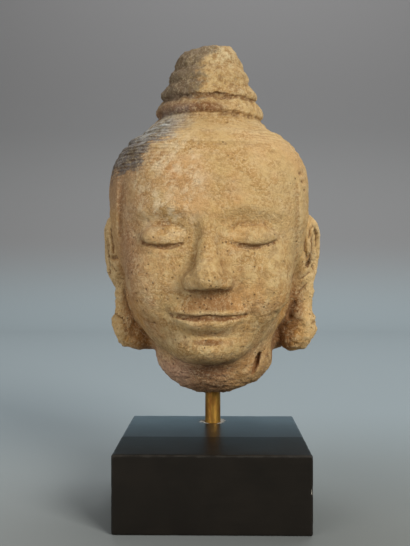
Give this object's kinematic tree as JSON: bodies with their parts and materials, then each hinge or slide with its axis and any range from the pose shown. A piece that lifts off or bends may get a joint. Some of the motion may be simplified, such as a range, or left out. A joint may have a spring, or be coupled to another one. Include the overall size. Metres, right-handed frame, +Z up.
{
  "type": "buddha head on a mount block",
  "caption": "Carved sandstone head of a Buddha with lowered eyes, long ears and a ringed topknot, held up by a brass rod in a black wooden block.",
  "frame": {"origin": "centre of the underside of the block", "axes": "+Z up through the block, the face looks along -Y, +X to the right as seen from the front"},
  "size_m": [0.1705, 0.1708, 0.3411],
  "materials": {
    "sandstone": "worn, grainy, dull stone with dark lichen patina",
    "brass": "turned rod, slightly tarnished",
    "black_wood": "satin black paint, edges just eased and lightly worn"
  },
  "bodies": {
    "root": {"stone_head": "sandstone", "brass_rod": "brass", "mount_block": "black_wood"}
  },
  "joints": []
}
